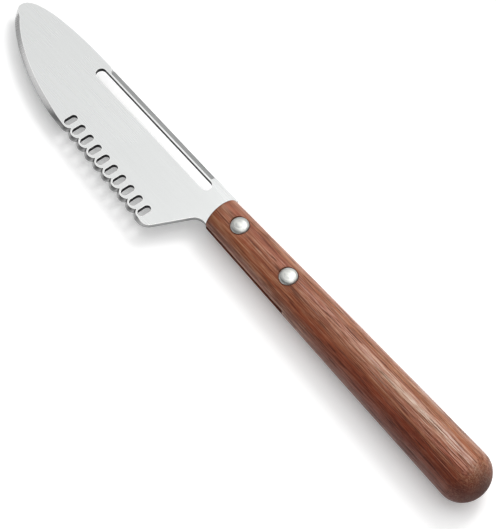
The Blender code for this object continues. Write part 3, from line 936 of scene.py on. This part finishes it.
def side_masks(points, rows, ground, brushed, lean_shade, shade):
    """{mask: values} over the rows of a sheet's side.

    The wall is dark cut steel, its colour deepened into painted shade. The ground face above the knee is
    ground steel where it is brushed across, and has its own share of that dark colour as painted shade.
    The rounded edges carry a painted highlight.
    """
    row = np.arange(rows)[:, None]
    knee = LOWER_ROWS + KNEE_ROWS
    on_wall = (row >= LOWER_ROWS - 1) & (row <= knee)
    on_ground = (row >= knee - 1) & (row <= knee) & ground
    # Rows over the rounded edges, which get the painted highlight
    painted_highlight = ((row >= 1) & (row < LOWER_ROWS - 1)) | ((row > knee) & (row < rows - 1))
    return {
        "ground": (on_ground & brushed).ravel(),
        "cut": (on_wall * np.where(on_ground, lean_shade, shade)).ravel(),
        "rim": np.repeat(painted_highlight, len(points)),
        "along": np.tile(arc_lengths(points), rows),
    }


def build_blade(sizes):
    """The sheet: a profile carried round its outline and each opening, and two flat faces."""
    outline = BladeOutline(sizes)
    half = sizes.thickness / 2
    inset, land, lobed = outline.ground_edge()
    bar = outline.bar_edge()
    inset[:, 1] -= bar * sizes.bar_grind
    land = land + bar * (half - sizes.bar_grind_depth - land)
    # Painted shade on the ground faces of the bar's corner and of the lobes
    lean_shade = np.where(bar > 0, sizes.bar_shade, sizes.lobe_shade * lobed)
    side = (sizes.eased, sizes.side_rim_width, sizes.side_shade)
    loops = [(outline.points, inset, land, lean_shade, side)]
    for opening in blade_openings(sizes, outline):
        none = np.zeros(len(opening))
        # The openings' walls take all of the near-black colour: cut steel and painted shade
        side = (sizes.crisp, sizes.rim_width, 1)
        loops.append((opening, np.zeros((len(opening), 2)), none, none, side))

    vertices, faces, lower, upper, masks = [], [], [], [], []
    start = 0
    for points, inset, land, lean_shade, (rounding, rim, shade) in loops:
        rows = wall_rows(points, inset, land, half, rounding, sizes.crisp, rim)
        vertices.append(rows.reshape(-1, 3))
        faces += strip_faces(len(rows), len(points), start).tolist()
        ring = np.arange(len(points)) + start
        lower.append(ring)
        upper.append(ring + (len(rows) - 1) * len(points))
        start += len(rows) * len(points)
        ground = np.linalg.norm(inset, axis=1) > sizes.crisp
        brushed = inset[:, 1] >= 0
        masks.append(side_masks(points, len(rows), ground, brushed, lean_shade, shade))

    vertices = np.concatenate(vertices)
    for rings, flip in ((lower, True), (upper, False)):
        flat = fill_flat([vertices[ring, :2] for ring in rings])
        triangles = np.concatenate(rings)[flat]
        faces += (triangles[:, ::-1] if flip else triangles).tolist()
    mesh = new_mesh("blade_sheet", vertices, faces)
    for name in masks[0]:
        add_attribute(mesh, name, np.concatenate([values[name] for values in masks]))
    place_piece(mesh, steel_material(sizes), "blade")


def from_origin(corners):
    """Corners of a box in the knife frame."""
    return [np.array(corner) - KNIFE_ORIGIN for corner in corners]


def rivet_places():
    """(name, distance from the handle's front) of each rivet."""
    places = []
    for name in ("front", "rear"):
        low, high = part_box(f"{name}_rivet_post")
        places.append((name, (low[0] + high[0]) / 2 - KNIFE_ORIGIN[0]))
    return places


def handle_radius(sizes, x):
    """Radius of the handle: a straight taper plus a parabola that is the belly high midway."""
    part = np.minimum(x / (sizes.handle_length - sizes.dome_length), 1)
    taper = sizes.front_radius + (sizes.butt_radius - sizes.front_radius) * part
    return taper + 4 * sizes.belly * part * (1 - part)


def handle_profile(sizes):
    """(x, radius) down the handle: flat front, eased edge, taper and an elliptic dome."""
    ease = sizes.front_ease
    dome_start = sizes.handle_length - sizes.dome_length
    top = handle_radius(sizes, ease) - ease
    turn = np.linspace(0, math.pi / 2, sizes.ease_rings + 1)
    edge = np.stack([ease - ease * np.cos(turn), top + ease * np.sin(turn)], axis=1)
    x = np.linspace(ease, dome_start, sizes.rings + 1)[1:]
    taper = np.stack([x, handle_radius(sizes, x)], axis=1)
    turn = np.linspace(0, math.pi / 2, sizes.dome_rings + 1)[1:]
    along = dome_start + sizes.dome_length * np.sin(turn)
    dome = np.stack([along, sizes.butt_radius * np.cos(turn)], axis=1)
    dome[-1, 1] = 0
    inner_front = np.array([(0, 0), (0, top / 2)])
    return np.concatenate([inner_front, edge, taper, dome])


# Half size of what cuts the handle, in radii of its butt
CUTTER_REACH = 1.5


def solid(name, vertices, faces):
    """The handle's blank, or one of the shapes that are taken away from it."""
    mesh = new_mesh(name, vertices, faces)
    turn_outwards(mesh)
    return new_object(name, mesh)


def upright_cylinder(x, radius, low, high, sides):
    """Points and faces of a cylinder that crosses the handle's axis at x."""
    profile = np.array([(low, 0), (low, radius), (high, radius), (high, 0)])
    vertices, faces = turned_surface(profile, sides)
    return vertices + np.array((x, 0, 0)), faces


def box_shape(low, high):
    """Corners and faces of a box."""
    vertices = np.array([[(low, high)[(n >> axis) & 1][axis] for axis in range(3)] for n in range(8)])
    faces = [(0, 2, 3, 1), (4, 5, 7, 6), (0, 1, 5, 4), (2, 6, 7, 3), (0, 4, 6, 2), (1, 3, 7, 5)]
    return vertices, faces


def cut_away(piece, cutters):
    """Takes the cutters away from a piece for good."""
    for made in cutters:
        modifier = piece.modifiers.new(made.name, "BOOLEAN")
        modifier.operation = "DIFFERENCE"
        modifier.solver = "EXACT"
        modifier.object = made
    evaluated = piece.evaluated_get(bpy.context.evaluated_depsgraph_get())
    mesh = bpy.data.meshes.new_from_object(evaluated)
    bpy.data.objects.remove(piece)
    for made in cutters:
        bpy.data.objects.remove(made)
    return mesh


def build_handle(settings):
    """The turned handle with its saw cut, shank holes and counterbores."""
    sizes, blade = settings.handle, settings.blade
    vertices, faces = turned_surface(handle_profile(sizes), sizes.sides)
    blank = solid("handle_blank", vertices[:, (2, 0, 1)], faces)

    wide = sizes.butt_radius * CUTTER_REACH
    kerf_half = blade.thickness / 2 + sizes.kerf_gap
    kerf_end = blade.tang_end + sizes.kerf_past_tang
    cutters = [solid("kerf", *box_shape((-wide, -wide, -kerf_half), (kerf_end, wide, kerf_half)))]
    for name, x in rivet_places():
        low, high = from_origin(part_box(f"{name}_rivet_post"))
        radius = (high[0] - low[0]) / 2 + sizes.counterbore_gap
        seat = high[2] - settings.rivets.head_dome - settings.rivets.head_rim - sizes.counterbore_gap
        shank = upright_cylinder(x, blade.shank_hole, -wide, wide, sizes.seat_sides)
        cutters.append(solid(f"{name}_shank", *shank))
        for side in (1, -1):
            bottom, top = sorted((side * seat, side * wide))
            counterbore = upright_cylinder(x, radius, bottom, top, sizes.seat_sides)
            cutters.append(solid(f"{name}_counterbore", *counterbore))
    mesh = cut_away(blank, cutters)
    mesh.name = "handle_wood"

    places = np.empty(len(mesh.vertices) * 3, np.float32)
    mesh.vertices.foreach_get("co", places)
    x = places[::3] - KNIFE_ORIGIN[0]
    # End grain over the dome and along the front's edge, darkened partly as painted shade
    into_dome = np.clip((x - sizes.handle_length + sizes.dome_length) / sizes.dome_length, 0, 1)
    at_front = smooth_step(1 - x / sizes.front_soak)
    add_attribute(mesh, "end_grain", np.maximum(into_dome**sizes.dome_soak, at_front))
    place_piece(mesh, wood_material(sizes), "handle")


def crown_profile(sizes, under, radius):
    """(height, radius) over a rivet's head, from the crown's middle to the rim's lower edge."""
    centre = (0, under + sizes.head_rim)
    crown = superellipse(centre, radius, sizes.head_dome, sizes.head_fullness, sizes.crown_steps)
    heights = np.append(crown[:, 1], under)
    radii = np.append(-crown[:, 0], radius)
    radii[0] = 0
    return np.stack([heights, radii], axis=1)


def build_rivets(settings):
    """Two rivets, each a post with its head above and a socket with its head below."""
    sizes = settings.rivets
    material = polished_material(sizes)
    for name, x in rivet_places():
        post_low, post_high = from_origin(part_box(f"{name}_rivet_post"))
        _, socket_high = from_origin(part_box(f"{name}_rivet_socket"))
        radius = (post_high[0] - post_low[0]) / 2
        under = post_high[2] - sizes.head_dome - sizes.head_rim
        head = crown_profile(sizes, under, radius)
        shank = [(under, sizes.post_radius), (post_low[2], sizes.post_radius), (post_low[2], 0)]
        floor = sizes.socket_floor - under
        hollow = [
            (floor, 0),
            (floor, sizes.bore_radius),
            (socket_high[2], sizes.bore_radius),
            (socket_high[2], sizes.socket_radius),
            (-under, sizes.socket_radius),
        ]
        profiles = {"post": (head, shank), "socket": (hollow, (head * (-1, 1))[::-1])}
        for half, profile in profiles.items():
            vertices, faces = turned_surface(np.concatenate(profile), sizes.sides)
            moved = vertices + np.array((x, 0, 0))
            mesh = new_mesh(f"{name}_rivet_{half}_turned", moved, faces)
            add_attribute(mesh, "from_axis", np.hypot(*vertices.T[:2]))
            place_piece(mesh, material, f"{name}_rivet_{half}")


# Stage

WHITE = (1.0, 1.0, 1.0)
# (how far towards the light, from 0 opposite to it to 1, and the studio's brightness there)
CEILING_LEVELS = (
    (0.40, 0.06),
    (0.55, 0.16),
    (0.70, 0.36),
    (0.82, 0.52),
    (0.90, 0.70),
    (0.96, 0.92),
    (1.00, 1.08),
)


def camera_axes(sizes):
    """Unit vectors to the camera's right, up and back."""
    a, e = sizes.azimuth, sizes.elevation
    right = np.array((math.cos(a), math.sin(a), 0))
    back = np.array((math.sin(a) * math.cos(e), -math.cos(a) * math.cos(e), math.sin(e)))
    return right, np.cross(back, right), back


def add_camera(sizes):
    """The camera, at a distance from the handle's front and moved to its right and up."""
    right, up, back = camera_axes(sizes)
    place = KNIFE_ORIGIN + sizes.distance * back + sizes.aim_right * right + sizes.aim_up * up
    data = bpy.data.cameras.new("camera")
    data.lens = sizes.lens
    data.sensor_fit = "AUTO"
    data.sensor_width = 36
    data.clip_start = 0.01
    data.clip_end = 100
    camera = new_object("camera", data)
    turned = np.eye(4)
    turned[:3, :3] = np.stack([right, up, back], axis=1)
    turned[:3, 3] = place
    camera.matrix_world = Matrix(turned.tolist())
    bpy.context.scene.camera = camera


def seen_directly(tree, glossy):
    """1 for rays from the camera or through something clear, and for reflections if glossy.

    Reflections of the light that a matt surface gathers don't count.
    """
    path = add_node(tree, "ShaderNodeLightPath").outputs
    total = math_node(tree, "ADD", path["Is Camera Ray"], path["Is Transmission Ray"])
    if glossy:
        total = math_node(tree, "ADD", total, path["Is Glossy Ray"])
        total = math_node(tree, "SUBTRACT", total, path["Diffuse Depth"])
    return math_node(tree, "MAXIMUM", math_node(tree, "MINIMUM", total, 1.0), 0.0)


def resting_slope():
    """(x of the butt's lowest point, slope) of the plane that the butt and the rear rivet rest on.

    It falls towards the butt by the rivet's height over the distance between the two.
    """
    rivet_low, rivet_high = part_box("rear_rivet_socket")
    handle = bpy.context.scene.butter_knife.handle
    butt_x = HANDLE_HIGH[0] - handle.dome_length
    return butt_x, (rivet_low[2] - HANDLE_LOW[2]) / (butt_x - (rivet_low[0] + rivet_high[0]) / 2)


def add_floor(sizes):
    """The floor that the knife lies on, touching its butt and the rear rivet."""
    half = sizes.floor_size / 2
    butt_x, slope = resting_slope()
    square = [(-half, -half), (half, -half), (half, half), (-half, half)]
    corners = [(x, y, slope * (butt_x - x)) for x, y in square]
    mesh = bpy.data.meshes.new("floor")
    mesh.from_pydata(corners, [], [(0, 1, 2, 3)])
    floor = new_object("floor", mesh)
    material, tree, shader = new_material("pale_paper")
    fill_inputs(tree, shader, {
        "Base Color": opaque(sizes.floor),
        "Roughness": 0.9,
        "Specular IOR Level": 0.0,
        "Emission Color": opaque(WHITE),
        "Emission Strength": math_node(tree, "MULTIPLY", seen_directly(tree, True), sizes.floor_lift),
    })
    mesh.materials.append(material)


def facing_node(tree, toward):
    """Cosine of the angle between the direction that a ray of the world takes and a fixed one."""
    toward = np.array(toward) / np.linalg.norm(toward)
    ray = add_node(tree, "ShaderNodeTexCoord").outputs["Generated"]
    return vector_math(tree, "DOT_PRODUCT", ray, tuple(toward))["Value"]


def white_light(tree, strength):
    """White light from the studio, as a shader of the world."""
    inputs = {"Color": opaque(WHITE), "Strength": strength}
    return add_node(tree, "ShaderNodeBackground", inputs=inputs).outputs[0]


def add_ceiling(sizes):
    """The studio round the knife, which the camera sees as white.

    It is brightest where the light comes from and dim behind the camera, with a lit wall past the
    butt.
    """
    world = bpy.data.worlds.new("studio")
    bpy.context.scene.world = world
    world.use_nodes = True
    tree = world.node_tree
    tree.nodes.clear()

    toward_light = math_node(tree, "MULTIPLY_ADD", facing_node(tree, sizes.light_from), 0.5, 0.5)
    stops = [(toward, (level, level, level)) for toward, level in CEILING_LEVELS]
    ceiling = colour_ramp(tree, toward_light, stops)
    dim_facing = facing_node(tree, sizes.dim_side)
    dimmest = sizes.ceiling * sizes.dim_level
    strength = fade(tree, dim_facing, sizes.dim_start, sizes.dim_full, sizes.ceiling, dimmest)
    wall = fade(tree, facing_node(tree, sizes.wall_side), sizes.wall_start, sizes.wall_full)
    height = facing_node(tree, (0, 0, 1))
    below = fade(tree, height, sizes.wall_top, sizes.wall_top - sizes.wall_fade)
    wall = math_node(tree, "MULTIPLY", wall, math_node(tree, "MULTIPLY", below, sizes.wall_level))
    studio = white_light(tree, math_node(tree, "MULTIPLY_ADD", ceiling, strength, wall))

    inputs = {0: seen_directly(tree, False), 1: studio, 2: white_light(tree, 1.0)}
    seen = add_node(tree, "ShaderNodeMixShader", inputs=inputs)
    add_node(tree, "ShaderNodeOutputWorld", inputs={"Surface": seen.outputs[0]})


def add_lamp(name, middle, long_side, short_side, brightness, turned=0):
    """A softbox; its power gives its face the brightness, where 1 is white.

    It faces down, or towards the butt if it is turned by a quarter about the y axis.
    """
    data = bpy.data.lights.new(name, "AREA")
    data.shape = "RECTANGLE"
    data.size = long_side
    data.size_y = short_side
    data.energy = brightness * math.pi * long_side * short_side
    lamp = new_object(name, data)
    lamp.location = KNIFE_ORIGIN + np.array(middle)
    lamp.rotation_euler = (0, -turned, 0)
    lamp.visible_camera = False


def build_stage(sizes):
    add_camera(sizes)
    add_ceiling(sizes)
    add_lamp("key_lamp", sizes.key_place, sizes.key_length, sizes.key_width, sizes.key)
    add_lamp("strip_lamp", sizes.strip_place, sizes.strip_length, sizes.strip_width, sizes.strip)
    add_lamp("side_lamp", sizes.side_place, sizes.side_height, sizes.side_width, sizes.side, math.pi / 2)
    add_floor(sizes)
    bpy.context.scene.view_settings.view_transform = "Standard"


# Operators and panel


class KNIFE_OT_stage(bpy.types.Operator):
    """Add the camera, the pale floor and the soft light"""

    bl_idname = "knife.stage"
    bl_label = "Stage"

    def execute(self, context):
        build_stage(context.scene.butter_knife.stage)
        return {"FINISHED"}


class KNIFE_OT_blade(bpy.types.Operator):
    """Add the pierced and ground sheet"""

    bl_idname = "knife.blade"
    bl_label = "Blade"

    def execute(self, context):
        build_blade(context.scene.butter_knife.blade)
        return {"FINISHED"}


class KNIFE_OT_handle(bpy.types.Operator):
    """Add the turned handle"""

    bl_idname = "knife.handle"
    bl_label = "Handle"

    def execute(self, context):
        build_handle(context.scene.butter_knife)
        return {"FINISHED"}


class KNIFE_OT_rivets(bpy.types.Operator):
    """Add both rivets"""

    bl_idname = "knife.rivets"
    bl_label = "Rivets"

    def execute(self, context):
        build_rivets(context.scene.butter_knife)
        return {"FINISHED"}


class KNIFE_PT_sidebar(bpy.types.Panel):
    """Sizes and colours of the knife, with a button for each group of pieces"""

    bl_label = "Butter Knife"
    bl_idname = "KNIFE_PT_sidebar"
    bl_space_type = "VIEW_3D"
    bl_region_type = "UI"
    bl_category = "Knife"

    def draw(self, context):
        settings = context.scene.butter_knife
        for group, operator in (
            (settings.stage, KNIFE_OT_stage),
            (settings.blade, KNIFE_OT_blade),
            (settings.handle, KNIFE_OT_handle),
            (settings.rivets, KNIFE_OT_rivets),
        ):
            box = self.layout.box()
            box.operator(operator.bl_idname)
            for name in group.__annotations__:
                box.prop(group, name)


CLASSES = (
    KnifeBladeSettings,
    KnifeHandleSettings,
    KnifeRivetSettings,
    KnifeStageSettings,
    KnifeSettings,
    KNIFE_OT_stage,
    KNIFE_OT_blade,
    KNIFE_OT_handle,
    KNIFE_OT_rivets,
    KNIFE_PT_sidebar,
)


def register():
    for made in CLASSES:
        bpy.utils.register_class(made)
    bpy.types.Scene.butter_knife = PointerProperty(type=KnifeSettings)


def unregister():
    del bpy.types.Scene.butter_knife
    for made in reversed(CLASSES):
        bpy.utils.unregister_class(made)


def main():
    register()
    bpy.ops.knife.stage()
    bpy.ops.knife.blade()
    bpy.ops.knife.handle()
    bpy.ops.knife.rivets()


if __name__ == "__main__":
    main()
